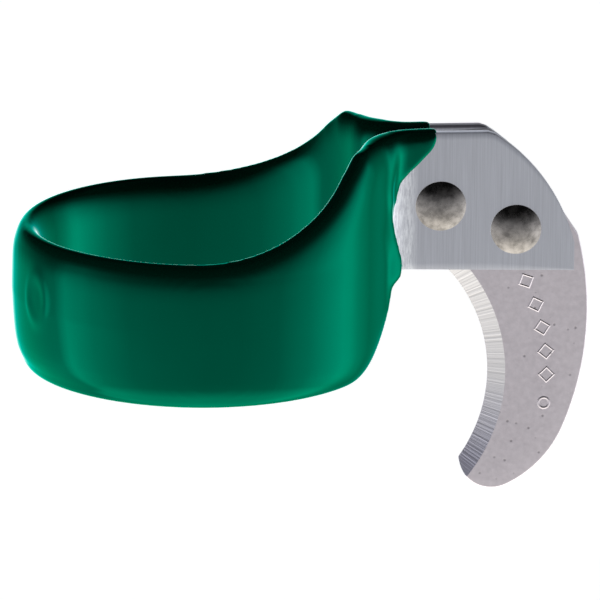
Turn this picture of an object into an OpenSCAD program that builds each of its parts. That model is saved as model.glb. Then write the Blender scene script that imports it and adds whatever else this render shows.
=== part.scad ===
// Finger-ring hook knife: a steel strip bent to a finger ring, with both ends
// folded out as tabs that hold a hooked blade on two rivets, and a dipped grip.
// +Z runs along the finger hole, +X points from the ring to the blade, and the
// part is symmetric about Y = 0. The origin is the centre of the finger hole.

/* [Finger ring] */
// Diameter of the finger hole, inside the grip coating
finger_d = 21; // [17:0.5:26]
// Thickness of the steel strip
strip_t = 0.75; // [0.6:0.05:1]
// Width of the steel strip round the finger
strip_w = 8.9; // [7:0.1:11]

/* [Grip coating] */
// Thickness of the coating on the faces of the strip
coat_t = 0.55; // [0.35:0.05:0.7]
// Thickness of the coating over the edges of the strip
coat_edge_t = 0.3; // [0.2:0.05:0.5]
// How far the coating runs along the top edge of the tabs
coat_reach_top = 1.9; // [1:0.1:3]
// How far short of the tabs the coating stops at their lower edge
coat_gap_low = 0.7; // [0.3:0.1:1.2]
// Radius of the curved edge where the coating ends on the tabs
coat_edge_r = 7.7; // [7:0.1:12]

/* [Strip outline, measured flat] */
// Angle round the ring, from its back, at which the top edge starts to rise
rise_from = 90; // [70:1:100]
// Radius of the hollow at the foot of the rise
rise_r = 14; // [10:0.5:16]
// Steepness of the rise, in degrees
rise_slope = 45; // [40:1:55]
// Radius of the shoulder at the top of the rise
shoulder_r = 1.2; // [0.8:0.1:2]
// Radius of the lower corner of the strip, at the heel
heel_r = 3.7; // [2:0.1:4.2]
// Radius of the inside corner between the heel and the tabs
notch_r = 0.8; // [0.6:0.1:1]
// Distance along the strip from the start of the bend to the heel
heel_reach = 2.05; // [1.6:0.05:2.4]

/* [Tabs] */
// Mean radius of the bend that turns the ring into each tab
bend_r = 3; // [2.2:0.1:4]
// Length of the flat tab beyond the bend
tab_len = 10.8; // [9:0.1:14]
// Height of each tab
tab_w = 9.5; // [7.8:0.1:12]
// Height of the tabs' lower edge above the middle of the ring
tab_low = 1.6; // [0.8:0.1:2.4]
// Radius of the rounded nose of the tabs
nose_r = 12.75; // [11:0.25:16]
// How far the nose curve would pass beyond the tab's end
nose_over = 0.4; // [0.2:0.05:0.8]
// Depth of the nose curve's centre below the tabs' lower edge
nose_drop = 1.4; // [0.5:0.1:2.5]

/* [Blade] */
// Thickness of the blade
blade_t = 1.2; // [1:0.05:1.6]
// Width of the hooked blade at its widest
blade_w = 6.5; // [5:0.1:8]
// How far the blade's back stands out beyond the tabs
blade_reach = 0.9; // [0.5:0.05:1.5]
// Radius of the long curve of the blade's back
back_r = 21; // [17:0.5:24]
// Depth of that curve's centre below the tabs
back_drop = 2.9; // [2:0.1:4]
// Radius of the curve that turns the back into the tip
turn_r = 11; // [9:0.25:12.5]
// Radius of the blunt tip
tip_r = 2.1; // [1.6:0.05:2.5]
// Direction in which the long curve meets the turn, below the horizontal
turn_from = 19; // [15:0.1:22]
// Direction in which the turn meets the tip, below the horizontal
tip_from = 52; // [48:1:54]
// Radius of the cutting edge
edge_r = 10.3; // [8.5:0.1:11]
// Depth of the cutting edge's centre below the tabs
edge_drop = 7.1; // [6.5:0.1:7.5]
// Width of the ground bevel
bevel_w = 1.15; // [0.8:0.05:1.6]
// Thickness left at the cutting edge
edge_land = 0.1; // [0.05:0.05:0.2]
// Gap between the hidden tang and the tabs' outline
tang_inset = 0.35; // [0.2:0.05:0.6]
// Height of the blade's upper corner above the tabs' lower edge
corner_up = 2.2; // [1.5:0.1:3]
// Slope of the cut above that corner, in degrees
corner_slope = 57; // [50:1:65]
// Height of that cut, up to where the tabs hide the blade
corner_cut_h = 2.1; // [1.5:0.1:2.6]

/* [Rivets] */
// Diameter of the rivets' shanks
rivet_d = 2; // [1.5:0.1:2.4]
// Diameter of the domed heads
rivet_head_d = 3.35; // [2.8:0.05:3.6]
// Height of the domed heads
rivet_head_h = 0.65; // [0.4:0.05:0.9]
// Height of the heads' straight rim, below the dome
rivet_rim_h = 0.1; // [0.05:0.05:0.2]
// Distance of the root rivet from the start of the flat tab
root_rivet_in = 1.9; // [1.8:0.05:2.6]
// Height of the root rivet above the tabs' lower edge
root_rivet_up = 4.4; // [3.5:0.1:5.5]
// Distance of the nose rivet from the end of the tab
nose_rivet_in = 3.9; // [3:0.1:4.4]
// Height of the nose rivet above the tabs' lower edge
nose_rivet_up = 2.75; // [2.2:0.1:3.6]

/* [Hidden] */
$fn = 96;

// The strip's path: a ring, two bends, two tabs
ring_r = finger_d / 2 + coat_t + strip_t / 2;
tab_y = (blade_t + strip_t) / 2;
bend_y = tab_y + bend_r;
tab_x = sqrt(pow(ring_r + bend_r, 2) - bend_y * bend_y);
join_a = asin(bend_y / (ring_r + bend_r));
tab_end = tab_x + tab_len;
tab_top = tab_low + tab_w;
coat_wall = strip_t + 2 * coat_t;
// Lengths along the strip's middle line, from the back of the ring
join_s = ring_r * (180 - join_a) * PI / 180;
flat_s = join_s + bend_r * (90 - join_a) * PI / 180;
rise_s = ring_r * rise_from * PI / 180;
heel_s = join_s + heel_reach;
// Where the rise's two curves meet the straight slope between them
slope_h = tab_top - strip_w / 2 - (rise_r + shoulder_r) * (1 - cos(rise_slope));
shoulder_s = rise_s + (rise_r + shoulder_r) * sin(rise_slope) + slope_h / tan(rise_slope);
// Centres of the blade's curves, as [x, z]
blade_out = tab_end + blade_reach;
back_c = [blade_out - back_r, tab_low - back_drop];
turn_c = back_c + (back_r - turn_r) * heading(-turn_from);
tip_c = turn_c + (turn_r - tip_r) * heading(-tip_from);
edge_c = [blade_out - blade_w - edge_r, tab_low - edge_drop];
nose_c = [tab_end + nose_over - nose_r, tab_low - nose_drop];
corner = back_c + [sqrt(back_r * back_r - pow(corner_up + back_drop, 2)), corner_up + back_drop];
// Left end of the blade between the tabs, where the coating's web begins
tang_x = tab_x + tang_inset;
rivet_root = [tab_x + root_rivet_in, tab_low + root_rivet_up];
rivet_nose = [tab_end - nose_rivet_in, tab_low + nose_rivet_up];
// The bends lap over the ring and the tabs, a hair thicker than both, so that
// the joined walls cross cleanly
lap = 0.1;
lap_a = lap / bend_r * 180 / PI;
lap_t = 0.01;
// The stack that the rivets clamp, and a length past everything
stack_t = blade_t + 2 * strip_t;
far = 4 * (ring_r + tab_end);

function heading(a) = [cos(a), sin(a)];
function deg(length, r) = length / r * 180 / PI;
function arc(c, r, from, to, n) = [for (i = [0:n]) c + r * heading(from + (to - from) * i / n)];

// X of a point on the strip's middle line, from its length along the strip
function bent_x(s) =
    s < join_s ? -ring_r * cos(deg(s, ring_r))
    : s < flat_s ? tab_x - bend_r * cos(join_a + deg(s - join_s, bend_r))
    : tab_x + s - flat_s;
function bent(points) = [for (p = points) [bent_x(p[0]), p[1]]];

// Centre of the curve of radius r that bows to the left from low up to high
function bow_centre(low, high, r) =
    let (half = (high - low) / 2, across = [half.y, -half.x] / norm(half))
    low + half + across * sqrt(r * r - half * half);

// Side view of the bent strip, grown by g all round
module side_outline(g) {
    rise = arc([rise_s, strip_w / 2 + rise_r], rise_r - g, -90, rise_slope - 90, 14);
    shoulder = arc([shoulder_s, tab_top - shoulder_r], shoulder_r + g, 90 + rise_slope, 90, 6);
    notch = arc([heel_s + notch_r, tab_low - notch_r], notch_r - g, 90, 180, 5);
    heel = arc([heel_s - heel_r, heel_r - strip_w / 2], heel_r + g, 0, -90, 8);
    polygon(concat(
        [[-far, strip_w / 2 + g]], bent(rise), bent(shoulder),
        [[tab_end, tab_top + g], [tab_end, tab_low - g]],
        bent(notch), bent(heel), [[-far, -strip_w / 2 - g]]
    ));
}

// Turns a side view drawn in X and Z into a slab of thickness t about Y = 0
module slab(t) rotate([90, 0, 0]) linear_extrude(t, center = true) children();

// The ring wall and its two bends, t thick, before the edges are cut
module curved_walls(t, z0, z1) {
    rotate_extrude(angle = 360 - 2 * join_a, start = join_a)
        translate([ring_r - t / 2, z0]) square([t, z1 - z0]);
    for (side = [0, 1]) mirror([0, side, 0])
        translate([tab_x, bend_y, 0])
            rotate_extrude(angle = 90 - join_a + lap_a, start = 180 + join_a - lap_a)
                translate([bend_r - t / 2 - lap_t, z0]) square([t + 2 * lap_t, z1 - z0]);
}

// Both tabs' flat walls, from the blade's faces outwards
module tab_walls(t, length, z0, z1)
    for (side = [0, 1]) mirror([0, side, 0])
        translate([tab_x - lap, blade_t / 2, z0]) cube([length + lap, t, z1 - z0]);

// A cylinder along Y at a point of the side view
module cross_pin(c, r, length)
    translate([c.x, 0, c.y]) rotate([90, 0, 0]) cylinder(h = length, r = r, center = true);

// The steel strip: ring, bends and both tabs in one piece
module ring_band() {
    z0 = -strip_w / 2 - 1;
    z1 = tab_top + 1;
    color("#a3a7ae") difference() {
        intersection() {
            union() {
                curved_walls(strip_t, z0, z1);
                tab_walls(strip_t, tab_len, z0, z1);
            }
            slab(far) side_outline(0);
        }
        slab(2 * stack_t) difference() {
            translate([rivet_root.x, tab_low]) square([far, far]);
            translate(nose_c) circle(nose_r);
        }
        cross_pin(rivet_root, rivet_d / 2, 2 * stack_t);
        cross_pin(rivet_nose, rivet_d / 2, 2 * stack_t);
    }
}

// The dipped coating: a skin on both faces and all edges of the ring and bends
module grip_coating() {
    z0 = -strip_w / 2 - 1;
    z1 = tab_top + 1;
    end_low = [tab_x - coat_gap_low, tab_low];
    end_top = [tab_x + coat_reach_top, tab_top];
    web_x = tab_x - bend_r * 0.45;
    color("#006e52") difference() {
        intersection() {
            union() {
                curved_walls(coat_wall, z0, z1);
                tab_walls(strip_t + coat_t, tab_len / 2, z0, z1);
                translate([web_x, -blade_t / 2, z0]) cube([tang_x - web_x, blade_t, z1 - z0]);
            }
            slab(far) difference() {
                side_outline(coat_edge_t);
                translate(bow_centre(end_low, end_top, coat_edge_r)) circle(coat_edge_r);
            }
        }
        ring_band();
    }
}

// The hooked blade's outline: the blunt tip, the turn and the back run into each
// other, and the corner at edge_c lies in the hollow that is ground away
module hook_outline() {
    corner_a = asin((corner.y - back_c.y) / back_r);
    cut_top = corner + [-corner_cut_h / tan(corner_slope), corner_cut_h];
    polygon(concat(
        [edge_c],
        arc(tip_c, tip_r, -200, -tip_from, 16),
        arc(turn_c, turn_r, -tip_from, -turn_from, 12),
        arc(back_c, back_r, -turn_from, corner_a, 14),
        [cut_top, [tang_x, cut_top.y], [tang_x, tab_low]]
    ));
}

// The blade's tang, hidden between the tabs
module tang_outline()
    intersection() {
        translate([tang_x, tab_low + tang_inset]) square([tab_len, tab_w - 2 * tang_inset]);
        translate(nose_c) circle(nose_r - tang_inset);
    }

// What grinding takes from the inner edge: the hollow and a bevel on each face
module ground_away() {
    depth = (blade_t - edge_land) / 2;
    cross_pin(edge_c, edge_r, 2 * blade_t);
    for (side = [-1, 1])
        translate([edge_c.x, side * edge_land / 2, edge_c.y])
            rotate([-90 * side, 0, 0])
                cylinder(h = 2 * depth, r1 = edge_r, r2 = edge_r + 2 * bevel_w);
}

// The hooked blade with its tang, both rivet holes and the ground inner edge
module blade()
    color("#b9b2b6") difference() {
        slab(blade_t) union() {
            hook_outline();
            tang_outline();
        }
        ground_away();
        cross_pin(rivet_root, rivet_d / 2, 2 * stack_t);
        cross_pin(rivet_nose, rivet_d / 2, 2 * stack_t);
    }

// A rivet through both tabs and the blade, with a low dome at each end
module rivet(c) {
    head_r = rivet_head_d / 2;
    dome_h = rivet_head_h - rivet_rim_h;
    dome_r = (head_r * head_r + dome_h * dome_h) / (2 * dome_h);
    color("#b5b0a8") translate([c.x, 0, c.y]) rotate([90, 0, 0]) {
        cylinder(h = stack_t, d = rivet_d, center = true);
        for (side = [0, 1]) mirror([0, 0, side])
            translate([0, 0, stack_t / 2])
                rotate_extrude() intersection() {
                    translate([0, rivet_head_h - dome_r]) circle(dome_r);
                    square([head_r, 2 * rivet_head_h]);
                }
    }
}
module root_rivet() rivet(rivet_root);
module nose_rivet() rivet(rivet_nose);

ring_band();
grip_coating();
blade();
root_rivet();
nose_rivet();
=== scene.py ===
"""Looks of a finger-ring hook knife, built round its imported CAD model.

The dipped grip, the bent steel strip, the hooked blade and the two rivets are each
modelled in the CAD model's own frame: +Z along the finger hole, +X towards the blade,
metres throughout.
"""

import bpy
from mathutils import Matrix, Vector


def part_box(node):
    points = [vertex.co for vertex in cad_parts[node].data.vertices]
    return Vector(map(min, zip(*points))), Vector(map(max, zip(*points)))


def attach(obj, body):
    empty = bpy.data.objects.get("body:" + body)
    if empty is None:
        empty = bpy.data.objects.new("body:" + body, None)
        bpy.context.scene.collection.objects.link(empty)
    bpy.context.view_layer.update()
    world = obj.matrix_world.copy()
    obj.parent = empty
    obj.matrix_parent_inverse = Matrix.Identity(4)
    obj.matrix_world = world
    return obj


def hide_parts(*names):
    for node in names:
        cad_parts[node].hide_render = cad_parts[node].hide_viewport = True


bl_info = {
    "name": "Finger-Ring Hook Knife",
    "version": (1, 0, 0),
    "blender": (4, 5, 0),
    "location": "3D View > Sidebar > Hook Knife",
    "description": "Models the grip, strip, blade and rivets of a finger-ring hook knife",
    "category": "Object",
}

import math

import bmesh
import bpy
from bpy.props import FloatProperty, FloatVectorProperty, PointerProperty
from bpy.types import Operator, Panel, PropertyGroup
from mathutils import Matrix, Vector

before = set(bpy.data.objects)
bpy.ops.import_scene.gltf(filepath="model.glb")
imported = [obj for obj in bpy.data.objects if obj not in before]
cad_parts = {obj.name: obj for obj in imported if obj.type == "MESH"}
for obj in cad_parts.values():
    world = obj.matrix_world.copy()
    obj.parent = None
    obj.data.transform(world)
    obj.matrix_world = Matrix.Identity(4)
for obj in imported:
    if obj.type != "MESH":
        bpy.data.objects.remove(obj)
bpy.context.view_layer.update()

MM = 0.001
BODY = "root"

# Faces of the CAD model that the pieces are built against
GRIP_LOW, GRIP_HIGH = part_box("grip_coating")
STRIP_LOW, STRIP_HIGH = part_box("ring_band")
BLADE_LOW, BLADE_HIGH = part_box("blade")
RIVET_NODES = ("root_rivet", "nose_rivet")


# Colours


def linear(hex_colour):
    """Linear RGB of an sRGB hex colour."""
    parts = [int(hex_colour[i : i + 2], 16) / 255 for i in (1, 3, 5)]
    return [c / 12.92 if c <= 0.04045 else ((c + 0.055) / 1.055) ** 2.4 for c in parts]


# Settings that a user would change


class StripSettings(PropertyGroup):
    thickness: FloatProperty(
        name="Thickness",
        description="Thickness of the steel strip",
        default=0.75 * MM, unit="LENGTH",
    )
    bend_radius: FloatProperty(
        name="Bend Radius",
        description="Mean radius of the bends into the tabs",
        default=3.0 * MM, unit="LENGTH",
    )
    tab_height: FloatProperty(
        name="Tab Height", description="Height of each tab", default=9.5 * MM, unit="LENGTH"
    )
    nose_radius: FloatProperty(
        name="Nose Radius",
        description="Radius of the rounded nose of the tabs",
        default=12.63 * MM, unit="LENGTH",
    )
    edge_round: FloatProperty(
        name="Edge Rounding",
        description="Rounding of the sheared edges",
        default=0.08 * MM, unit="LENGTH",
    )
    colour: FloatVectorProperty(
        name="Colour",
        description="Colour of the brushed steel",
        subtype="COLOR", default=linear("#D4D6DD"),
    )


class GripSettings(PropertyGroup):
    rise_start: FloatProperty(
        name="Rise Start", description="Length along the strip where its top edge starts to rise",
        default=16.75 * MM, unit="LENGTH"
    )
    rise_radius: FloatProperty(
        name="Rise Radius",
        description="Radius of the hollow at the foot of the rise",
        default=16.5 * MM, unit="LENGTH",
    )
    heel_radius: FloatProperty(
        name="Heel Radius",
        description="Radius of the lower corner",
        default=6.3 * MM, unit="LENGTH",
    )
    barrel: FloatProperty(
        name="Barrel",
        description="How much the coating is fuller at mid height",
        default=0.1 * MM, unit="LENGTH",
    )
    colour: FloatVectorProperty(
        name="Colour",
        description="Colour of the dipped coating",
        subtype="COLOR", default=linear("#005A43"),
    )


class BladeSettings(PropertyGroup):
    back_radius: FloatProperty(
        name="Back Radius",
        description="Radius of the long curve of the back",
        default=21.0 * MM, unit="LENGTH",
    )
    turn_radius: FloatProperty(
        name="Turn Radius",
        description="Radius of the back's turn into the tip",
        default=7.6 * MM, unit="LENGTH",
    )
    tip_radius: FloatProperty(
        name="Tip Radius", description="Radius of the blunt tip", default=2.2 * MM, unit="LENGTH"
    )
    edge_radius: FloatProperty(
        name="Edge Radius",
        description="Radius of the cutting edge",
        default=10.53 * MM, unit="LENGTH",
    )
    bevel_width: FloatProperty(
        name="Bevel Width",
        description="Width of the ground bevel",
        default=1.15 * MM, unit="LENGTH",
    )
    mark_inset: FloatProperty(
        name="Mark Inset",
        description="From the cutting edge to the raised row",
        default=3.9 * MM, unit="LENGTH",
    )
    colour: FloatVectorProperty(
        name="Colour",
        description="Colour of the blade's faces",
        subtype="COLOR", default=linear("#E4DCE0"),
    )
    bevel_colour: FloatVectorProperty(
        name="Bevel Colour",
        description="Colour of the ground bevel",
        subtype="COLOR", default=linear("#F7F4F3"),
    )


class RivetSettings(PropertyGroup):
    shank_diameter: FloatProperty(
        name="Shank Diameter", description="Diameter of the shanks", default=2.0 * MM, unit="LENGTH"
    )
    rim_height: FloatProperty(
        name="Rim Height",
        description="Height of the straight rim below the dome",
        default=0.1 * MM, unit="LENGTH",
    )
    colour: FloatVectorProperty(
        name="Colour",
        description="Colour of the polished heads",
        subtype="COLOR", default=linear("#A29D98"),
    )


class StageSettings(PropertyGroup):
    azimuth: FloatProperty(
        name="Azimuth",
        description="Direction the camera looks from",
        default=math.radians(-4.5), subtype="ANGLE",
    )
    elevation: FloatProperty(
        name="Elevation",
        description="Height of the camera above the horizon",
        default=math.radians(16), subtype="ANGLE",
    )
    roll: FloatProperty(
        name="Roll",
        description="Turn of the camera about its own axis",
        default=math.radians(0.5), subtype="ANGLE",
    )
    distance: FloatProperty(
        name="Distance",
        description="Distance from the camera to the knife",
        default=0.6, unit="LENGTH",
    )
    view_width: FloatProperty(
        name="View Width",
        description="Width of what the camera shows at the knife",
        default=39.63 * MM, unit="LENGTH",
    )


class HookKnifeSettings(PropertyGroup):
    strip: PointerProperty(type=StripSettings)
    grip: PointerProperty(type=GripSettings)
    blade: PointerProperty(type=BladeSettings)
    rivets: PointerProperty(type=RivetSettings)
    stage: PointerProperty(type=StageSettings)


# Modelling


def start(add, name, **where):
    """Adds a primitive by the given operator, with nothing else selected."""
    bpy.ops.object.select_all(action="DESELECT")
    add(**where)
    piece = bpy.context.object
    piece.name = piece.data.name = name
    bpy.ops.object.transform_apply(location=True, rotation=True, scale=True)
    return piece


def select(piece, kind, wanted):
    """Selects a piece's faces or edges, in edit mode, for which wanted is true."""
    bpy.ops.mesh.select_mode(type={"faces": "FACE", "edges": "EDGE"}[kind])
    bpy.ops.mesh.select_all(action="DESELECT")
    mesh = bmesh.from_edit_mesh(piece.data)
    for part in getattr(mesh, kind):
        if wanted(part):
            part.select_set(True)
    mesh.select_flush_mode()
    bmesh.update_edit_mesh(piece.data)


def runs_along(axis):
    """A test for edges that run along an axis."""
    return lambda edge: abs((edge.verts[1].co - edge.verts[0].co).normalized()[axis]) > 0.999


def finish_with(piece, kind, **settings):
    """Adds a modifier with its settings and applies it."""
    bpy.ops.object.select_all(action="DESELECT")
    piece.select_set(True)
    bpy.context.view_layer.objects.active = piece
    modifier = piece.modifiers.new(kind.title(), kind)
    for name, value in settings.items():
        setattr(modifier, name, value)
    bpy.ops.object.modifier_apply(modifier=modifier.name)


def widen(along, wide, centre):
    """Extrudes the selected faces along Y and scales them across it about a centre."""
    bpy.ops.mesh.extrude_region_move(TRANSFORM_OT_translate={"value": (0, along, 0)})
    bpy.ops.transform.resize(value=(wide, 1, wide), center_override=centre)


def join(name, *pieces):
    """Makes several pieces into one."""
    bpy.ops.object.select_all(action="DESELECT")
    for piece in pieces:
        piece.select_set(True)
    bpy.context.view_layer.objects.active = pieces[0]
    bpy.ops.object.join()
    joined = bpy.context.object
    joined.name = joined.data.name = name
    return joined


def close_up(piece):
    """Merges doubled vertices and turns the faces outwards."""
    bpy.context.view_layer.objects.active = piece
    bpy.ops.object.mode_set(mode="EDIT")
    bpy.ops.mesh.select_all(action="SELECT")
    bpy.ops.mesh.remove_doubles(threshold=0.002 * MM)
    bpy.ops.mesh.normals_make_consistent(inside=False)
    bpy.ops.object.mode_set(mode="OBJECT")


def hand_in(piece, slot, angle, *nodes):
    """Shades a finished piece, fixes it to the body and lets it stand for its CAD nodes."""
    bpy.ops.object.select_all(action="DESELECT")
    piece.select_set(True)
    bpy.context.view_layer.objects.active = piece
    bpy.ops.object.shade_smooth_by_angle(angle=math.radians(angle))
    # The pieces are lit by the tent alone and do not mirror each other
    piece.visible_glossy = False
    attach(piece, BODY)
    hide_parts(*nodes)


def ease(value, start, end):
    """0 up to the start, 1 from the end on, and evenly between; either may be the lower."""
    return min(1, max(0, (value - start) / (end - start)))


# Outlines drawn flat, as lists of points


def arc(centre, radius, begin, end, steps=20):
    """Points along an arc, its angles in degrees."""
    x, y = centre
    angles = [math.radians(begin + (end - begin) * i / steps) for i in range(steps + 1)]
    return [Vector((x + radius * math.cos(a), y + radius * math.sin(a))) for a in angles]


def polar(centre, radius, angle):
    """The point at an angle in degrees and a distance from a centre."""
    return arc(centre, radius, angle, angle, 1)[0]


def line(*points):
    """A line through points, which may be pairs of numbers."""
    return [Vector(p) for p in points]


def walk(points, share):
    """The point at a share of a line's length, and the line's direction there."""
    lengths = [(b - a).length for a, b in zip(points, points[1:])]
    left = share * sum(lengths)
    for a, b, length in zip(points, points[1:], lengths):
        if left <= length and length > 0:
            break
        left -= length
    else:
        left = length
    return a.lerp(b, left / length), (b - a).normalized()


def stretch_along(stretches, shares, place):
    """The point and direction at a place from 0 to 1 along several stretches."""
    i = max(k for k in range(len(stretches)) if place >= shares[k] - 1e-9)
    return walk(stretches[i], (place - shares[i]) / (shares[i + 1] - shares[i]))


def lay_between(piece, height, low, high, shares, rim=0.0):
    """Lays a bar flat between two outlines.

    The bar runs from X 0 to 1, and its Z from 0 to height is spread from the low
    outline to the high one. Within rim of either side it keeps its shape.
    """
    rails = {}
    for vertex in piece.data.vertices:
        x, z = round(vertex.co.x, 6), vertex.co.z
        if x not in rails:
            place = min(1, max(0, x))
            a, along_a = stretch_along(low, shares, place)
            b, along_b = stretch_along(high, shares, place)
            rails[x] = a, Vector((-along_a.y, along_a.x)), b, Vector((along_b.y, -along_b.x))
        a, in_a, b, in_b = rails[x]
        if z < rim:
            flat = a + in_a * z
        elif z > height - rim:
            flat = b + in_b * (height - z)
        else:
            share = (z - rim) / (height - 2 * rim)
            flat = (a + in_a * rim).lerp(b + in_b * rim, share)
        vertex.co.x, vertex.co.z = flat


def bar(name, thickness, height, columns, rows, rounding=0.0):
    """A bar from X 0 to 1, cut into columns and rows, its long edges rounded."""
    piece = start(
        bpy.ops.mesh.primitive_cube_add, name,
        size=1, location=(0.5, 0, height / 2), scale=(1, thickness, height)
    )
    bpy.ops.object.mode_set(mode="EDIT")
    if rounding:
        select(piece, "edges", runs_along(0))
        bpy.ops.mesh.bevel(offset=rounding, segments=7, affect="EDGES")
    select(piece, "edges", runs_along(2))
    bpy.ops.mesh.subdivide(number_cuts=rows - 1)
    select(piece, "edges", runs_along(0))
    bpy.ops.mesh.subdivide(number_cuts=columns - 1)
    bpy.ops.object.mode_set(mode="OBJECT")
    return piece


# The nose's rounding reaches past the end of the tabs, and its centre lies below them
NOSE_PAST = 0.4 * MM
NOSE_DROP = 1.4 * MM


class StripPath:
    """The strip's path seen from above: half the ring, a bend and a flat tab."""

    def __init__(self, strip):
        self.ring_r = -STRIP_LOW.x - strip.thickness / 2
        self.bend_r = strip.bend_radius
        self.tab_y = BLADE_HIGH.y + strip.thickness / 2
        self.bend_y = self.tab_y + self.bend_r
        self.tab_x = math.sqrt((self.ring_r + self.bend_r) ** 2 - self.bend_y**2)
        self.join_angle = math.asin(self.bend_y / (self.ring_r + self.bend_r))
        self.join = self.ring_r * (math.pi - self.join_angle)
        self.flat = self.join + self.bend_r * (math.pi / 2 - self.join_angle)
        self.end = self.flat + STRIP_HIGH.x - self.tab_x
        self.tab_low = STRIP_HIGH.z - strip.tab_height

    def bend(self, length, out):
        """Where a point lands, from its length along the strip and its distance outwards."""
        if length < self.join:
            angle, reach = length / self.ring_r, self.ring_r + out
            return -reach * math.cos(angle), -reach * math.sin(angle)
        if length < self.flat:
            angle = self.join_angle + (length - self.join) / self.bend_r
            reach = self.bend_r - out
            return self.tab_x - reach * math.cos(angle), -self.bend_y + reach * math.sin(angle)
        return self.tab_x + length - self.flat, -self.tab_y - out

    def nose(self, end, strip):
        """The centre of the nose's rounding, for tabs with a given end."""
        return Vector((end + NOSE_PAST - strip.nose_radius, self.tab_low - NOSE_DROP))

    def wrap(self, piece):
        """Bends a flat piece, laid along X with its outer face towards +Y."""
        for vertex in piece.data.vertices:
            x, y = self.bend(vertex.co.x, vertex.co.y)
            vertex.co.x, vertex.co.y = x, y


def mirrored(piece):
    """Opens the end on Y = 0 and adds the other half."""
    bpy.context.view_layer.objects.active = piece
    bpy.ops.object.mode_set(mode="EDIT")
    select(piece, "faces", lambda face: all(abs(v.co.y) < 0.001 * MM for v in face.verts))
    bpy.ops.mesh.delete(type="FACE")
    bpy.ops.object.mode_set(mode="OBJECT")
    finish_with(piece, "MIRROR", use_axis=(False, True, False), merge_threshold=0.005 * MM)
    close_up(piece)


# Materials


def add(tree, kind, wires=None, **settings):
    """Adds a node, sets its properties, and sets or links its inputs."""
    node = tree.nodes.new(kind)
    for name, value in settings.items():
        setattr(node, name, value)
    for name, value in (wires or {}).items():
        if isinstance(value, bpy.types.NodeSocket):
            tree.links.new(value, node.inputs[name])
        else:
            node.inputs[name].default_value = value
    return node


def new_material(name, **surface):
    """A material with one Principled shader, and its tree and shader."""
    material = bpy.data.materials.new(name)
    material.use_nodes = True
    tree = material.node_tree
    shader = tree.nodes["Principled BSDF"]
    for socket, value in surface.items():
        shader.inputs[socket.replace("_", " ")].default_value = value
    return material, tree, shader


def dipped_plastisol(colour):
    """Dipped PVC plastisol: a wet gloss with green reflections, and a slow ripple from draining."""
    material, tree, shader = new_material(
        "dipped_plastisol", Roughness=0.07, IOR=1.52, Metallic=0.8,
        Specular_IOR_Level=0.0, Specular_Tint=(0.0, 0.78, 0.62, 1)
    )
    here = add(tree, "ShaderNodeTexCoord").outputs["Object"]
    # Ripples about 4 mm apart
    drift = add(tree, "ShaderNodeTexNoise", {"Vector": here, "Scale": 1 / (4 * MM), "Detail": 2.0})
    dark = [c * 0.9 for c in colour]
    tint = add(
        tree, "ShaderNodeMix", {0: drift.outputs["Fac"], 6: (*dark, 1), 7: (*colour, 1)},
        data_type="RGBA"
    )
    bump = add(
        tree, "ShaderNodeBump",
        {"Height": drift.outputs["Fac"], "Strength": 0.2, "Distance": 0.05 * MM}
    )
    tree.links.new(tint.outputs[2], shader.inputs["Base Color"])
    tree.links.new(bump.outputs["Normal"], shader.inputs["Normal"])
    return material


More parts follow.
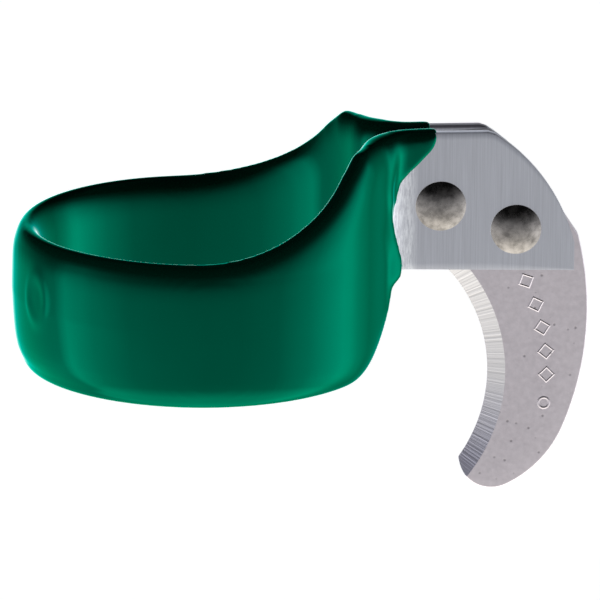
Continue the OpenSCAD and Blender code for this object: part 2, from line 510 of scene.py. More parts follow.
def brushed_strip_steel(colour):
    """Cold-rolled steel strip, brushed across: fine upright lines, a painted highlight in pale
    streaks where it was bent, and painted shade on the far tab's top edge.
    """
    material, tree, shader = new_material("brushed_strip_steel", Metallic=1.0, Roughness=0.38)
    here = add(tree, "ShaderNodeTexCoord").outputs["Object"]
    # Brush lines 0.07 mm apart and 5 mm long
    apart, long = 1 / (0.07 * MM), 1 / (5 * MM)
    fine = add(tree, "ShaderNodeMapping", {"Vector": here, "Scale": (apart, apart, long)})
    lines = add(
        tree, "ShaderNodeTexNoise",
        {"Vector": fine.outputs[0], "Scale": 1.0, "Detail": 3.0, "Roughness": 0.7}
    )
    dark = [c * 0.62 for c in colour]
    tint = add(
        tree, "ShaderNodeMix", {0: lines.outputs["Fac"], 6: (*dark, 1), 7: (*colour, 1)},
        data_type="RGBA"
    )
    # Painted highlight on the bent part, broken into pale streaks, standing in for the bend's
    # brighter reflection
    place = add(tree, "ShaderNodeSeparateXYZ", {0: here})
    bent = add(
        tree, "ShaderNodeMapRange",
        {"Value": place.outputs["X"], "From Min": 14.3 * MM, "From Max": 13.75 * MM}
    )
    apart, long = 1 / (0.12 * MM), 1 / (0.7 * MM)
    streaks = add(tree, "ShaderNodeMapping", {"Vector": here, "Scale": (apart, apart, long)})
    speckle = add(
        tree, "ShaderNodeTexNoise",
        {"Vector": streaks.outputs[0], "Scale": 1.0, "Detail": 5.0, "Roughness": 0.7}
    )
    bend_highlight_streaks = add(
        tree, "ShaderNodeMapRange",
        {"Value": speckle.outputs["Fac"], "From Min": 0.3, "From Max": 0.65}
    )
    bend_highlight_streaks = add(
        tree, "ShaderNodeMath", {0: bent.outputs[0], 1: bend_highlight_streaks.outputs[0]}, operation="MULTIPLY"
    )
    # The painted highlight's colour, paler than the steel
    pale = [min(1.0, c * 1.45) for c in colour]
    tint = add(
        tree, "ShaderNodeMix", {0: bend_highlight_streaks.outputs[0], 6: tint.outputs[2], 7: (*pale, 1)},
        data_type="RGBA"
    )
    # Painted shade darkens the far tab's top edge, over the shut-in gap between the tabs
    top = add(
        tree, "ShaderNodeMapRange",
        {"Value": place.outputs["Z"], "From Min": STRIP_HIGH.z - 0.42 * MM,
         "From Max": STRIP_HIGH.z - 0.28 * MM}
    )
    far = add(
        tree, "ShaderNodeMapRange",
        {"Value": place.outputs["Y"], "From Min": 0.3 * MM, "From Max": 0.5 * MM}
    )
    far_top_painted_shade = add(
        tree, "ShaderNodeMath", {0: top.outputs[0], 1: far.outputs[0]}, operation="MULTIPLY"
    )
    tint = add(
        tree, "ShaderNodeMix",
        {0: far_top_painted_shade.outputs[0], 6: tint.outputs[2], 7: (*linear("#8A8487"), 1)},
        data_type="RGBA", blend_type="MULTIPLY"
    )
    bump = add(
        tree, "ShaderNodeBump",
        {"Height": lines.outputs["Fac"], "Strength": 0.3, "Distance": 0.01 * MM}
    )
    tree.links.new(tint.outputs[2], shader.inputs["Base Color"])
    tree.links.new(bump.outputs["Normal"], shader.inputs["Normal"])
    return material


def tumbled_blade_steel(colour):
    """Blanked and tumbled tool steel: a satin grey with a soft mottle, a few fine pits, and painted
    shade on the tang's top edge.
    """
    material, tree, shader = new_material("tumbled_blade_steel", Metallic=1.0, Roughness=0.42)
    here = add(tree, "ShaderNodeTexCoord").outputs["Object"]
    # A mottle of 0.35 mm
    grain = add(
        tree, "ShaderNodeTexNoise", {"Vector": here, "Scale": 1 / (0.35 * MM), "Detail": 5.0}
    )
    dark = [c * 0.72 for c in colour]
    tint = add(
        tree, "ShaderNodeMix", {0: grain.outputs["Fac"], 6: (*dark, 1), 7: (*colour, 1)},
        data_type="RGBA"
    )
    # Pits about 0.1 mm across in cells of 0.9 mm, left by the rolling scale
    cells = add(tree, "ShaderNodeTexVoronoi", {"Vector": here, "Scale": 1 / (0.9 * MM)})
    pits = add(
        tree, "ShaderNodeMapRange",
        {"Value": cells.outputs["Distance"], "From Min": 0.05, "From Max": 0.13}
    )
    grey = add(tree, "ShaderNodeMapRange", {"Value": pits.outputs[0], "To Min": 0.6, "To Max": 1.0})
    tint = add(
        tree, "ShaderNodeMix", {0: 1.0, 6: tint.outputs[2], 7: grey.outputs[0]},
        data_type="RGBA", blend_type="MULTIPLY"
    )
    # Painted shade: the tang's top edge, shut in between the tabs, darkens towards the top
    place = add(tree, "ShaderNodeSeparateXYZ", {0: here})
    tang_top_painted_shade = add(
        tree, "ShaderNodeMapRange",
        {"Value": place.outputs["Z"], "From Min": BLADE_HIGH.z - 3 * MM,
         "From Max": BLADE_HIGH.z - 0.5 * MM, "To Min": 1.0, "To Max": 0.1}
    )
    tint = add(
        tree, "ShaderNodeMix", {0: 1.0, 6: tint.outputs[2], 7: tang_top_painted_shade.outputs[0]},
        data_type="RGBA", blend_type="MULTIPLY"
    )
    rough = add(
        tree, "ShaderNodeMath", {0: grain.outputs["Fac"], 1: pits.outputs[0]}, operation="ADD"
    )
    bump = add(
        tree, "ShaderNodeBump",
        {"Height": rough.outputs[0], "Strength": 0.35, "Distance": 0.03 * MM}
    )
    tree.links.new(tint.outputs[2], shader.inputs["Base Color"])
    tree.links.new(bump.outputs["Normal"], shader.inputs["Normal"])
    return material


def ground_bevel_steel(colour, centre):
    """Tool steel ground across the edge: fine scratches that point at the wheel's centre, and a
    painted blue reflection towards the tip.
    """
    material, tree, shader = new_material("ground_bevel_steel", Metallic=1.0, Roughness=0.42)
    here = add(tree, "ShaderNodeTexCoord").outputs["Object"]
    middle = (centre[0], 0, centre[1])
    away = add(tree, "ShaderNodeVectorMath", {0: here, 1: middle}, operation="SUBTRACT")
    part = add(tree, "ShaderNodeSeparateXYZ", {0: away.outputs[0]})
    angle = add(
        tree, "ShaderNodeMath", {0: part.outputs["Z"], 1: part.outputs["X"]}, operation="ARCTAN2"
    )
    # 0.15 mm between scratches at the edge's 10 mm radius
    lines = add(
        tree, "ShaderNodeTexNoise", {"W": angle.outputs[0], "Scale": 10 / 0.15, "Detail": 3.0},
        noise_dimensions="1D"
    )
    dark = [c * 0.45 for c in colour]
    tint = add(
        tree, "ShaderNodeMix", {0: lines.outputs["Fac"], 6: (*dark, 1), 7: (*colour, 1)},
        data_type="RGBA"
    )
    # Painted reflection: the bevel is tinted faintly blue towards the tip
    place = add(tree, "ShaderNodeSeparateXYZ", {0: here})
    tip_painted_reflection = add(
        tree, "ShaderNodeMapRange",
        {"Value": place.outputs["Z"], "From Min": -6 * MM, "From Max": -12 * MM}
    )
    tint = add(
        tree, "ShaderNodeMix",
        {0: tip_painted_reflection.outputs[0], 6: tint.outputs[2], 7: (*linear("#EEEEFF"), 1)},
        data_type="RGBA", blend_type="MULTIPLY"
    )
    bump = add(
        tree, "ShaderNodeBump",
        {"Height": lines.outputs["Fac"], "Strength": 0.7, "Distance": 0.03 * MM}
    )
    tree.links.new(tint.outputs[2], shader.inputs["Base Color"])
    tree.links.new(bump.outputs["Normal"], shader.inputs["Normal"])
    return material


def polished_rivet_steel(colour):
    """Cold-headed steel, polished by the heading die: bright, with scuffs and light stains."""
    material, tree, shader = new_material("polished_rivet_steel", Metallic=1.0)
    here = add(tree, "ShaderNodeTexCoord").outputs["Object"]
    # Scuffs of 0.6 mm
    scuffs = add(
        tree, "ShaderNodeTexNoise",
        {"Vector": here, "Scale": 1 / (0.6 * MM), "Detail": 6.0, "Roughness": 0.6}
    )
    rough = add(
        tree, "ShaderNodeMapRange",
        {"Value": scuffs.outputs["Fac"], "To Min": 0.1, "To Max": 0.45}
    )
    stain = add(
        tree, "ShaderNodeMapRange",
        {"Value": scuffs.outputs["Fac"], "From Min": 0.32, "From Max": 0.64}
    )
    dark = [c * 0.45 for c in colour]
    tint = add(
        tree, "ShaderNodeMix", {0: stain.outputs[0], 6: (*dark, 1), 7: (*colour, 1)},
        data_type="RGBA"
    )
    tree.links.new(rough.outputs[0], shader.inputs["Roughness"])
    tree.links.new(tint.outputs[2], shader.inputs["Base Color"])
    return material


# Pieces


# Both tabs' top edges lie a little below the highest face, and the far tab is a little short
TAB_DROP = 0.18 * MM
FAR_TAB_SHORT = 0.42 * MM
# The strip's outline stays this far inside the coating's, so that the rounded rims cover it
COVER = 0.9 * MM
# From the foot of the rise to the shoulder above the bend, along the strip
SHOULDER_RUN = 13.8 * MM


class HOOKKNIFE_OT_strip(Operator):
    """Bends the steel strip into the ring and both tabs"""

    bl_idname = "hook_knife.strip"
    bl_label = "Steel Strip"

    def execute(self, context):
        strip, grip = context.scene.hook_knife.strip, context.scene.hook_knife.grip
        path = StripPath(strip)
        low, high = self.edges(path, strip, grip)
        height = 10 * MM
        piece = bar("steel_strip", strip.thickness, height, 220, 20)
        lay_between(piece, height, low, high, (0.0, 0.3, 0.6, 1.0))
        path.wrap(piece)
        mirrored(piece)
        for vertex in piece.data.vertices:
            if vertex.co.y > 0:
                along = ease(vertex.co.x, path.tab_x, path.tab_x + 3 * MM)
                vertex.co.x -= FAR_TAB_SHORT * along
        for node in RIVET_NODES:
            drill(piece, node)
        finish_with(
            piece, "BEVEL", width=strip.edge_round, segments=2,
            limit_method="ANGLE", angle_limit=math.radians(46)
        )
        piece.data.materials.append(brushed_strip_steel(strip.colour))
        hand_in(piece, "band_steel", 35, "ring_band")
        return {"FINISHED"}

    def edges(self, path, strip, grip):
        """The strip's lower and upper edges, laid out flat."""
        low_z, high_z = STRIP_LOW.z + COVER, -STRIP_LOW.z - COVER
        tab_low, tab_top = path.tab_low, STRIP_HIGH.z - TAB_DROP
        heel, heel_r, notch_r = path.join + 2.05 * MM, 3.35 * MM, 0.8 * MM
        rise_r = grip.rise_radius + 0.65 * MM
        shoulder, shoulder_r = grip.rise_start + SHOULDER_RUN, 1.2 * MM
        grip_end = path.flat + 1.2 * MM
        nose = path.nose(path.end, strip)
        nose_top = math.degrees(math.asin((tab_top - nose.y) / strip.nose_radius))
        nose_end = math.degrees(math.acos((path.end - nose.x) / strip.nose_radius))
        low = [
            line((0, low_z), (grip.rise_start, low_z)),
            line((grip.rise_start, low_z))
            + arc((heel - COVER - heel_r, low_z + heel_r), heel_r, -90, 0)
            + arc((heel + notch_r, tab_low - notch_r), notch_r, 180, 90),
            line((heel + notch_r, tab_low + 0.08 * MM), (path.end, tab_low - 0.12 * MM)),
        ]
        high = [
            line((0, high_z), (grip.rise_start, high_z)),
            arc((grip.rise_start, high_z + rise_r), rise_r, -90, -45)
            + arc((shoulder, tab_top - 1.9 * MM), shoulder_r, 135, 90),
            line((shoulder, tab_top - 0.7 * MM), (grip_end - 1 * MM, tab_top - 0.25 * MM))
            + line((grip_end, tab_top))
            + arc(nose, strip.nose_radius, nose_top, nose_end, 40),
        ]
        return low, high


def drill(piece, rivet_node):
    """Drills a rivet's hole through a piece."""
    low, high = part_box(rivet_node)
    bit = start(
        bpy.ops.mesh.primitive_cylinder_add, "bit", vertices=64,
        radius=bpy.context.scene.hook_knife.rivets.shank_diameter / 2, depth=20 * MM,
        location=(low + high) / 2, rotation=(math.pi / 2, 0, 0)
    )
    finish_with(piece, "BOOLEAN", object=bit, operation="DIFFERENCE", solver="EXACT")
    bpy.data.objects.remove(bit)


# How far the dip line bows back from a straight, in mm, at shares of the tab's height
DIP_LINE = (
    (0, 0.1), (0.18, 1.2), (0.31, 1.9), (0.42, 2.15), (0.53, 2.1), (0.63, 2.1), (0.73, 1.2),
    (0.87, 0.4), (1, 0.15),
)
# The free edge of the web between the bends, in mm past the start of the tabs and in height
WEB_EDGE = (
    (0.5, 9.4), (-0.2, 8.4), (-1.2, 6.5), (-1.4, 4.5), (-1.2, 2.4), (-1.6, 0.8), (-1.9, -0.4),
)
# The drip mark hangs on the ring's far end from the blade
DRIP_MARK = Vector((-11.04 * MM, -5.53 * MM, 1.2 * MM))


def between(table, place):
    """Reads a table of places and values at a place between two of its rows."""
    place = min(table[-1][0], max(table[0][0], place))
    (a, low), (b, high) = next(pair for pair in zip(table, table[1:]) if place <= pair[1][0])
    return low + (high - low) * (place - a) / (b - a)


class HOOKKNIFE_OT_grip(Operator):
    """Dips the ring and the bends in a thick glossy coating"""

    bl_idname = "hook_knife.grip"
    bl_label = "Dipped Grip"

    def execute(self, context):
        strip, grip = context.scene.hook_knife.strip, context.scene.hook_knife.grip
        path = StripPath(strip)
        half = self.half(path, strip, grip)
        path.wrap(half)
        mirrored(half)
        piece = join("dipped_grip", half, self.web(path))
        # Melts the halves and the web into one skin
        finish_with(piece, "REMESH", mode="VOXEL", voxel_size=0.175 * MM)
        finish_with(piece, "SMOOTH", factor=0.5, iterations=14)
        self.settle(piece, grip)
        piece.data.materials.append(dipped_plastisol(grip.colour))
        hand_in(piece, "dipped_grip", 180, "grip_coating")
        return {"FINISHED"}

    def edges(self, path, grip):
        """The coating's lower and upper edges, laid out flat."""
        low_z, high_z = GRIP_LOW.z, -GRIP_LOW.z
        tab_low, tab_top = path.tab_low + 0.05 * MM, STRIP_HIGH.z - 0.02 * MM
        low_end, high_end = path.flat - 0.3 * MM, path.flat + 1.85 * MM
        heel, heel_r, notch_r = path.join + 2.4 * MM, grip.heel_radius, 0.9 * MM
        shoulder, shoulder_r = grip.rise_start + SHOULDER_RUN, 1.5 * MM
        low = [
            line((0, low_z), (grip.rise_start, low_z)),
            line((grip.rise_start, low_z))
            + arc((heel - 0.45 * MM - heel_r, low_z + heel_r), heel_r, -90, 0)
            + arc((heel + notch_r, tab_low - notch_r), notch_r, 180, 110),
            line((heel + notch_r * 0.66, tab_low - notch_r * 0.06), (low_end, tab_low)),
        ]
        high = [
            line((0, high_z), (grip.rise_start, high_z)),
            arc((grip.rise_start, high_z + grip.rise_radius), grip.rise_radius, -90, -45)
            + arc((shoulder, tab_top - 1.8 * MM), shoulder_r, 135, 90),
            line((shoulder, tab_top - 0.3 * MM), (shoulder + 4 * MM, tab_top - 0.06 * MM))
            + line((high_end, tab_top + 0.04 * MM)),
        ]
        return low, high

    def half(self, path, strip, grip):
        """One half of the coating, from the middle of the ring to the dip line, laid out flat."""
        wall = strip.thickness + 2 * (STRIP_LOW.x - GRIP_LOW.x)
        rim, height = wall / 2, 10 * MM
        shares = (0.0, 0.36, 0.8, 1.0)
        piece = bar("half_grip", wall, height, 300, 30, rounding=rim * 0.98)
        bows = []
        for vertex in piece.data.vertices:
            x, y, z = vertex.co
            upper = z > height / 2
            # How near to the dip line, and how far into the bend
            reach, bent = ease(x, shares[2], 1), ease(x, 0.6, 0.8)
            # Both rims are drawn out into tall ovals, less so beside the tabs
            tall = (2.2 - 1.4 * reach if upper else 2.1 - 1.1 * bent) * MM
            depth = min(z, height - z)
            if depth < rim:
                depth *= tall / rim
            else:
                depth = tall + (depth - rim) * (height / 2 - tall) / (height / 2 - rim)
            z = height - depth if upper else depth
            vertex.co.z = z
            bows.append(reach * between(DIP_LINE, z / height) * MM)
            # The coating thins towards the dip line
            if y > 0:
                vertex.co.y -= (0.2 * reach**3 if upper else 0.32 * reach) * MM
        low, high = self.edges(path, grip)
        lay_between(piece, height, low, high, shares, 1.0 * MM)
        for vertex, bow in zip(piece.data.vertices, bows):
            # The coating pools in the hollow of the bend
            if vertex.co.y > 0:
                away = (vertex.co.x - path.join - 1.5 * MM) / (1.6 * MM)
                vertex.co.y += 0.4 * MM * math.exp(-(away**2))
            vertex.co.x -= bow
        return piece

    def web(self, path):
        """The web of coating that closes the V between the bends."""
        height = 2 * MM
        top, foot = STRIP_HIGH.z - 1.22 * MM, WEB_EDGE[-1][1] * MM
        inner = line((path.tab_x - 2.2 * MM, top), (path.tab_x - 2.3 * MM, foot))
        outer = line((path.tab_x + 0.9 * MM, top))
        outer += line(*((path.tab_x + x * MM, z * MM) for x, z in WEB_EDGE))
        piece = bar("web", 2.4 * MM, height, 30, 6)
        lay_between(piece, height, [inner], [outer], (0.0, 1.0))
        close_up(piece)
        return piece

    def settle(self, piece, grip):
        """Fills the wall at mid height, draws in the lower rim, and adds the drip mark."""
        outer_wall = 11.4 * MM
        for vertex in piece.data.vertices:
            x, y, z = vertex.co
            # The rims stand slightly higher, most of all in front
            if z > 0:
                front = ease(y, 0, -9 * MM) * ease(x, 11 * MM, 6 * MM)
                z += (0.07 + 0.19 * front) * MM * ease(z, 0, 4 * MM)
            else:
                z += 0.07 * MM * ease(z, 0, -4 * MM)
            # The far tab's coating ends a little sooner
            if y > 0:
                x -= 0.28 * MM * ease(x, 13.2 * MM, 14.8 * MM)
            flat = Vector((x, y))
            reach = flat.length
            if reach >= outer_wall:
                push = grip.barrel * max(0, 1 - (z / (4 * MM)) ** 2)
                push -= 0.15 * MM * ease(z, -1.5 * MM, -4.7 * MM) ** 2
                push *= ease(x, 10 * MM, 2 * MM)
                push -= 0.17 * MM * ease(z, 0.5 * MM, -3 * MM) * ease(x, -4 * MM, -10 * MM)
                push += self.drip(Vector((x, y, z)))
                flat *= (reach + push * ease(reach, outer_wall, 12.1 * MM)) / reach
            vertex.co = (*flat, z)

    def drip(self, place):
        """How far the drip mark's oval ridge stands out at a place on the wall."""
        away = place - DRIP_MARK
        along = math.hypot(away.x, away.y)
        oval = math.hypot(along / (1.1 * MM), away.z / (1.5 * MM))
        return 0.07 * MM * math.exp(-(((oval - 1) / 0.36) ** 2))


# Angles in degrees at which the blade's back turns in, the tip starts and the tip ends
BACK_ANGLES = (15, -22, -64, -199)
# Angles of the raised marks round the cutting edge's centre, a ring last
MARK_ANGLES = (26, 19, 12.4, 5.8, -0.6, -8.4)


class HOOKKNIFE_OT_blade(Operator):
    """Blanks the hooked blade and grinds its inner edge"""

    bl_idname = "hook_knife.blade"
    bl_label = "Hooked Blade"

    def execute(self, context):
        strip, blade = context.scene.hook_knife.strip, context.scene.hook_knife.blade
        path = StripPath(strip)
        thickness = BLADE_HIGH.y - BLADE_LOW.y
        edge_x = BLADE_HIGH.x - 6.44 * MM - blade.edge_radius
        edge_c = Vector((edge_x, path.tab_low - 7.35 * MM))
        tumbled, height = 0.08 * MM, 6 * MM
        low, high = self.edges(path, strip, blade, edge_c)
        piece = bar("blade", thickness, height, 160, 4, rounding=tumbled)
        lay_between(piece, height, low, high, (0.0, 0.25, 1.0), tumbled)
        close_up(piece)
        for node in RIVET_NODES:
            drill(piece, node)
        self.grind(piece, blade, edge_c, thickness)
        for angle in MARK_ANGLES:
            self.emboss(piece, polar(edge_c, blade.edge_radius + blade.mark_inset, angle), angle)
        piece.data.materials.append(tumbled_blade_steel(blade.colour))
        piece.data.materials.append(ground_bevel_steel(blade.bevel_colour, edge_c))
        for face in piece.data.polygons:
            reach = (Vector((face.center.x, face.center.z)) - edge_c).length
            if 0.5 < abs(face.normal.y) < 0.97 and reach < blade.edge_radius + blade.bevel_width:
                face.material_index = 1
        hand_in(piece, "blade_steel", 20, "blade")
        return {"FINISHED"}

    def edges(self, path, strip, blade, edge_c):
        """The blank's inner and outer outlines, its hollow not yet ground out."""
        top = BLADE_HIGH.z - 0.2 * MM
        back_from, turn_from, tip_from, tip_to = BACK_ANGLES
        back_x = BLADE_HIGH.x + 0.12 * MM - blade.back_radius
        back_c = Vector((back_x, path.tab_low - 3.25 * MM))
        turn_c = polar(back_c, blade.back_radius - blade.turn_radius, turn_from)
        tip_c = polar(turn_c, blade.turn_radius - blade.tip_radius, tip_from)
        hollow = blade.edge_radius - 0.5 * MM
        tang = BLADE_LOW.x - edge_c.x
        hollow_from = math.degrees(math.acos(tang / hollow))
        low = [
            line((BLADE_LOW.x, top), (BLADE_LOW.x, edge_c.y + math.sqrt(hollow**2 - tang**2))),
            arc(edge_c, hollow, hollow_from, -33, 40),
        ]
        high = [
            # Just inside the tabs' nose, then out to the blade's own back
            arc(path.nose(STRIP_HIGH.x, strip), strip.nose_radius - 0.2 * MM, 58.3, 27.5),
            line((path.tab_x + 11.14 * MM, path.tab_low + 2.27 * MM))
            + arc(back_c, blade.back_radius, back_from, turn_from, 40)
            + arc(turn_c, blade.turn_radius, turn_from, tip_from, 30)
            + arc(tip_c, blade.tip_radius, tip_from, tip_to, 40),
        ]
        return low, high

    def emboss(self, piece, place, angle):
        """Raises a small open diamond, or a ring at the end of the row, on the front face."""
        size, sides = (0.36 * MM, 32) if angle == MARK_ANGLES[-1] else (0.5 * MM, 4)
        mark = start(
            bpy.ops.mesh.primitive_torus_add, "mark", major_segments=sides, minor_segments=8,
            major_radius=size, minor_radius=0.2 * MM,
            location=(place.x, BLADE_LOW.y + 0.16 * MM, place.y),
            rotation=(math.pi / 2, math.radians(-angle), 0)
        )
        finish_with(piece, "BOOLEAN", object=mark, operation="UNION", solver="EXACT")
        bpy.data.objects.remove(mark)

    def grind(self, piece, blade, edge_c, thickness):
        """Takes away the hollow of the hook and a bevel on each face."""
        land, depth = 0.05 * MM, 0.8 * MM
        slope = blade.bevel_width / (thickness / 2 - land)
        wide = 1 + depth * slope / blade.edge_radius
        wheel = start(
            bpy.ops.mesh.primitive_cylinder_add, "wheel", vertices=720,
            radius=blade.edge_radius, depth=2 * land,
            location=(edge_c.x, 0, edge_c.y), rotation=(math.pi / 2, 0, 0)
        )
        bpy.ops.object.mode_set(mode="EDIT")
        for side in (-1, 1):
            select(wheel, "faces", lambda face: face.calc_center_median().y * side > 0.9 * land)
            widen(side * depth, wide, (edge_c.x, side * (land + depth), edge_c.y))
        bpy.ops.object.mode_set(mode="OBJECT")
        finish_with(piece, "BOOLEAN", object=wheel, operation="DIFFERENCE", solver="EXACT")
        bpy.data.objects.remove(wheel)


class HOOKKNIFE_OT_rivets(Operator):
    """Heads both rivets with low polished domes"""

    bl_idname = "hook_knife.rivets"
    bl_label = "Rivets"

    def execute(self, context):
        rivets = context.scene.hook_knife.rivets
        material = polished_rivet_steel(rivets.colour)
        for node in RIVET_NODES:
            piece = self.rivet(node + "_domed", node, rivets)
            piece.data.materials.append(material)
            hand_in(piece, "rivet_metal", 40, node)
        return {"FINISHED"}

    def rivet(self, name, node, rivets):
        """A shank with both ends drawn out into heads, by rings of shrinking radius."""
        low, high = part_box(node)
        middle, head_r = (low + high) / 2, (high.x - low.x) / 2
        shank_r = rivets.shank_diameter / 2
        seat = BLADE_HIGH.y + bpy.context.scene.hook_knife.strip.thickness
        dome = high.y - seat - rivets.rim_height
        # Radius and height of each ring: the rim's eased foot, the rim, and a parabola
        rings = [(head_r - 0.04 * MM, 0.0), (head_r, 0.03 * MM), (head_r, rivets.rim_height)]
        for i in range(1, 12):
            outwards = 1 - i / 12
            rings.append((head_r * outwards, rivets.rim_height + dome * (1 - outwards**2)))
        piece = start(
            bpy.ops.mesh.primitive_cylinder_add, name, vertices=64, radius=shank_r,
            depth=2 * seat, location=middle, rotation=(math.pi / 2, 0, 0)
        )
        bpy.ops.object.mode_set(mode="EDIT")
        for side in (-1, 1):
            select(piece, "faces", lambda face: face.calc_center_median().y * side > 0.99 * seat)
            radius, y = shank_r, 0.0
            for next_radius, next_y in rings:
                centre = (middle.x, side * (seat + next_y), middle.z)
                widen(side * (next_y - y), next_radius / radius, centre)
                radius, y = next_radius, next_y
        bpy.ops.object.mode_set(mode="OBJECT")
        close_up(piece)
        return piece


# The tent's brightness by direction round the knife in degrees, 0 in front and 90
# towards the blade, and by height above the horizon in degrees
TENT_ROUND = (
    (-180, 2.0), (-135, 2.1), (-112, 1.7), (-104, 1.6), (-99, 2.3), (-94, 2.8), (-85, 2.2),
    (-73, 1.6), (-62, 1.3), (-48, 0.95), (-28, 0.82), (0, 0.72), (22, 0.74), (46, 0.9),
    (68, 1.6), (84, 2.5), (97, 3.2), (103, 3.0), (112, 2.0), (125, 1.15), (150, 1.0),
    (165, 1.1), (180, 2.0),
)
TENT_FRONT = (
    (-90, 2.6), (-64, 2.0), (-42, 1.0), (-18, 1.0), (0, 0.6), (10, 0.27), (18, 0.08),
    (28, 0.01), (90, 0.01),
)
TENT_REAR = (
    (-90, 2.6), (-64, 2.0), (-42, 1.0), (-18, 1.0), (0, 1.0), (10, 0.7), (16, 0.55),
    (25, 0.25), (40, 0.03), (90, 0.01),
)
# Where the rear table holds, by direction round the knife
TENT_BEHIND = ((-180, 1), (-173, 1), (-160, 0), (160, 0), (173, 1), (180, 1))
# How much lower the dark top hangs, in degrees
TENT_HANG = ((-180, 4), (-150, 12), (-110, 12), (-80, 0), (180, 0))
# Near straight down the direction round the knife makes no difference
TENT_LEVEL = ((-75, 0), (-30, 1))
# The light from below is warmer than the light from above
TENT_WARM = ((-60, 1), (20, 0))
COOL_LIGHT = (0.93, 0.97, 1.08, 1)
WARM_LIGHT = (1.02, 1.0, 0.95, 1)
# Where the camera points, to the right of the ring's middle and below it
AIM_RIGHT = 6.605 * MM
AIM_DOWN = 0.611 * MM


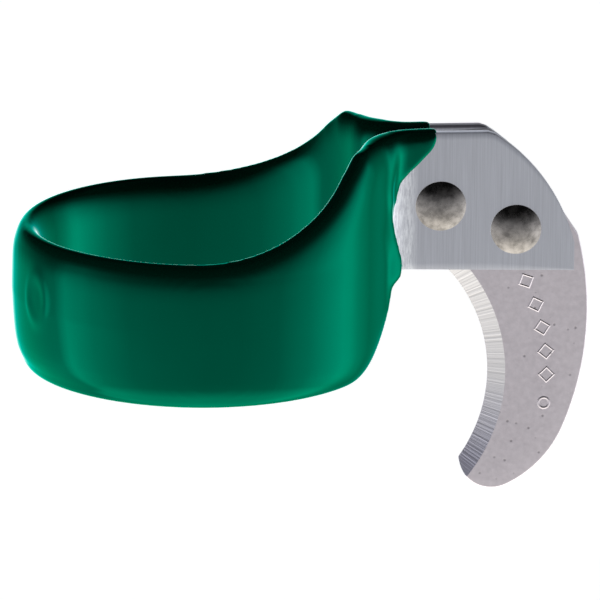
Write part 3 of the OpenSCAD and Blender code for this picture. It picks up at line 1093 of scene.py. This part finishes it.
class HOOKKNIFE_OT_stage(Operator):
    """Sets the floor, the soft light and the camera"""

    bl_idname = "hook_knife.stage"
    bl_label = "Stage"

    def execute(self, context):
        stage = context.scene.hook_knife.stage
        self.floor()
        self.sky(context)
        self.camera(context, stage)
        context.scene.view_settings.view_transform = "Standard"
        return {"FINISHED"}

    def floor(self):
        floor = start(
            bpy.ops.mesh.primitive_plane_add, "floor", size=6,
            location=(0, 0, BLADE_LOW.z - 0.05 * MM)
        )
        material, _, _ = new_material(
            "lit_acrylic_table", Roughness=0.6, Base_Color=(0.9, 0.9, 0.9, 1),
            Emission_Color=(1, 1, 1, 1), Emission_Strength=0.95
        )
        floor.data.materials.append(material)
        # The tent gives the light from below, so the floor is only seen
        floor.visible_diffuse = floor.visible_glossy = floor.visible_shadow = False

    def sky(self, context):
        """A light tent: brightest below and at the sides, dark overhead."""
        world = bpy.data.worlds.new("studio")
        context.scene.world = world
        world.use_nodes = True
        tree = world.node_tree
        where = add(tree, "ShaderNodeTexCoord").outputs["Generated"]
        part = add(tree, "ShaderNodeSeparateXYZ", {0: where})
        # Height above the horizon and direction round the knife, in degrees
        height = add(tree, "ShaderNodeMath", {0: part.outputs["Z"]}, operation="ARCSINE")
        height = add(tree, "ShaderNodeMath", {0: height.outputs[0]}, operation="DEGREES").outputs[0]
        back = add(tree, "ShaderNodeMath", {0: part.outputs["Y"], 1: -1.0}, operation="MULTIPLY")
        turn = add(
            tree, "ShaderNodeMath", {0: part.outputs["X"], 1: back.outputs[0]}, operation="ARCTAN2"
        )
        turn = add(tree, "ShaderNodeMath", {0: turn.outputs[0]}, operation="DEGREES").outputs[0]
        hang = self.ramp(tree, turn, TENT_HANG)
        lower = add(tree, "ShaderNodeMath", {0: height, 1: hang}, operation="ADD")
        front = self.ramp(tree, lower.outputs[0], TENT_FRONT)
        rear = self.ramp(tree, height, TENT_REAR)
        behind = self.ramp(tree, turn, TENT_BEHIND)
        upright = add(tree, "ShaderNodeMix", {0: behind, 2: front, 3: rear}, data_type="FLOAT")
        around = self.ramp(tree, turn, TENT_ROUND)
        level = self.ramp(tree, height, TENT_LEVEL)
        around = add(tree, "ShaderNodeMix", {0: level, 2: 1.0, 3: around}, data_type="FLOAT")
        light = add(
            tree, "ShaderNodeMath", {0: upright.outputs[0], 1: around.outputs[0]},
            operation="MULTIPLY"
        )
        warm = self.ramp(tree, height, TENT_WARM)
        tint = add(
            tree, "ShaderNodeMix", {0: warm, 6: COOL_LIGHT, 7: WARM_LIGHT}, data_type="RGBA"
        )
        # Seen directly, the tent is plain white
        seen = add(tree, "ShaderNodeLightPath").outputs["Is Camera Ray"]
        colour = add(
            tree, "ShaderNodeMix", {0: seen, 6: tint.outputs[2], 7: (1, 1, 1, 1)}, data_type="RGBA"
        )
        strength = add(
            tree, "ShaderNodeMix", {0: seen, 2: light.outputs[0], 3: 1.0}, data_type="FLOAT"
        )
        background = tree.nodes["Background"]
        tree.links.new(colour.outputs[2], background.inputs["Color"])
        tree.links.new(strength.outputs[0], background.inputs["Strength"])

    def ramp(self, tree, value, table):
        """Reads a table of places and values with a float curve."""
        low, high = table[0][0], table[-1][0]
        most = max(v for _, v in table)
        place = add(
            tree, "ShaderNodeMapRange", {"Value": value, "From Min": low, "From Max": high}
        )
        curve = add(tree, "ShaderNodeFloatCurve", {"Value": place.outputs[0]})
        points = curve.mapping.curves[0].points
        points[0].location = (0, table[0][1] / most)
        points[1].location = (1, table[-1][1] / most)
        for x, y in table[1:-1]:
            points.new((x - low) / (high - low), y / most)
        for point in points:
            point.handle_type = "VECTOR"
        curve.mapping.update()
        far_top_painted_shade = add(tree, "ShaderNodeMath", {0: curve.outputs[0], 1: most}, operation="MULTIPLY")
        return far_top_painted_shade.outputs[0]

    def camera(self, context, stage):
        """A long lens level with the knife, turned and rolled as the settings say."""
        x, y = math.sin(-stage.azimuth), math.cos(-stage.azimuth)
        tilt, roll = stage.elevation, stage.roll
        right = Vector((y, -x, 0))
        up = Vector((x * math.sin(tilt), y * math.sin(tilt), math.cos(tilt)))
        forward = Vector((x * math.cos(tilt), y * math.cos(tilt), -math.sin(tilt)))
        rolled_right = right * math.cos(roll) + up * math.sin(roll)
        rolled_up = up * math.cos(roll) - right * math.sin(roll)
        aim = rolled_right * AIM_RIGHT - rolled_up * AIM_DOWN
        data = bpy.data.cameras.new("camera")
        camera = bpy.data.objects.new("camera", data)
        context.scene.collection.objects.link(camera)
        turned = Matrix((rolled_right, rolled_up, -forward)).transposed().to_4x4()
        camera.matrix_world = Matrix.Translation(aim - forward * stage.distance) @ turned
        data.lens = data.sensor_width * stage.distance / stage.view_width
        data.clip_start, data.clip_end = 0.01, 20
        context.scene.camera = camera


class HOOKKNIFE_PT_panel(Panel):
    """Lists the knife's pieces and their settings"""

    bl_idname = "HOOKKNIFE_PT_panel"
    bl_label = "Hook Knife"
    bl_space_type = "VIEW_3D"
    bl_region_type = "UI"
    bl_category = "Hook Knife"

    def draw(self, context):
        settings = context.scene.hook_knife
        for group, operator in (
            (settings.strip, HOOKKNIFE_OT_strip),
            (settings.grip, HOOKKNIFE_OT_grip),
            (settings.blade, HOOKKNIFE_OT_blade),
            (settings.rivets, HOOKKNIFE_OT_rivets),
            (settings.stage, HOOKKNIFE_OT_stage),
        ):
            box = self.layout.box()
            for name in group.bl_rna.properties.keys():
                if name not in {"rna_type", "name"}:
                    box.prop(group, name)
            box.operator(operator.bl_idname)


CLASSES = (
    StripSettings,
    GripSettings,
    BladeSettings,
    RivetSettings,
    StageSettings,
    HookKnifeSettings,
    HOOKKNIFE_OT_strip,
    HOOKKNIFE_OT_grip,
    HOOKKNIFE_OT_blade,
    HOOKKNIFE_OT_rivets,
    HOOKKNIFE_OT_stage,
    HOOKKNIFE_PT_panel,
)


def register():
    """Registers the classes and the settings of the scene."""
    for cls in CLASSES:
        bpy.utils.register_class(cls)
    bpy.types.Scene.hook_knife = PointerProperty(type=HookKnifeSettings)


def unregister():
    """Takes the settings and the classes away again."""
    del bpy.types.Scene.hook_knife
    for cls in reversed(CLASSES):
        bpy.utils.unregister_class(cls)


def main():
    """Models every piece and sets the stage."""
    register()
    bpy.ops.hook_knife.strip()
    bpy.ops.hook_knife.grip()
    bpy.ops.hook_knife.blade()
    bpy.ops.hook_knife.rivets()
    bpy.ops.hook_knife.stage()


if __name__ == "__main__":
    main()
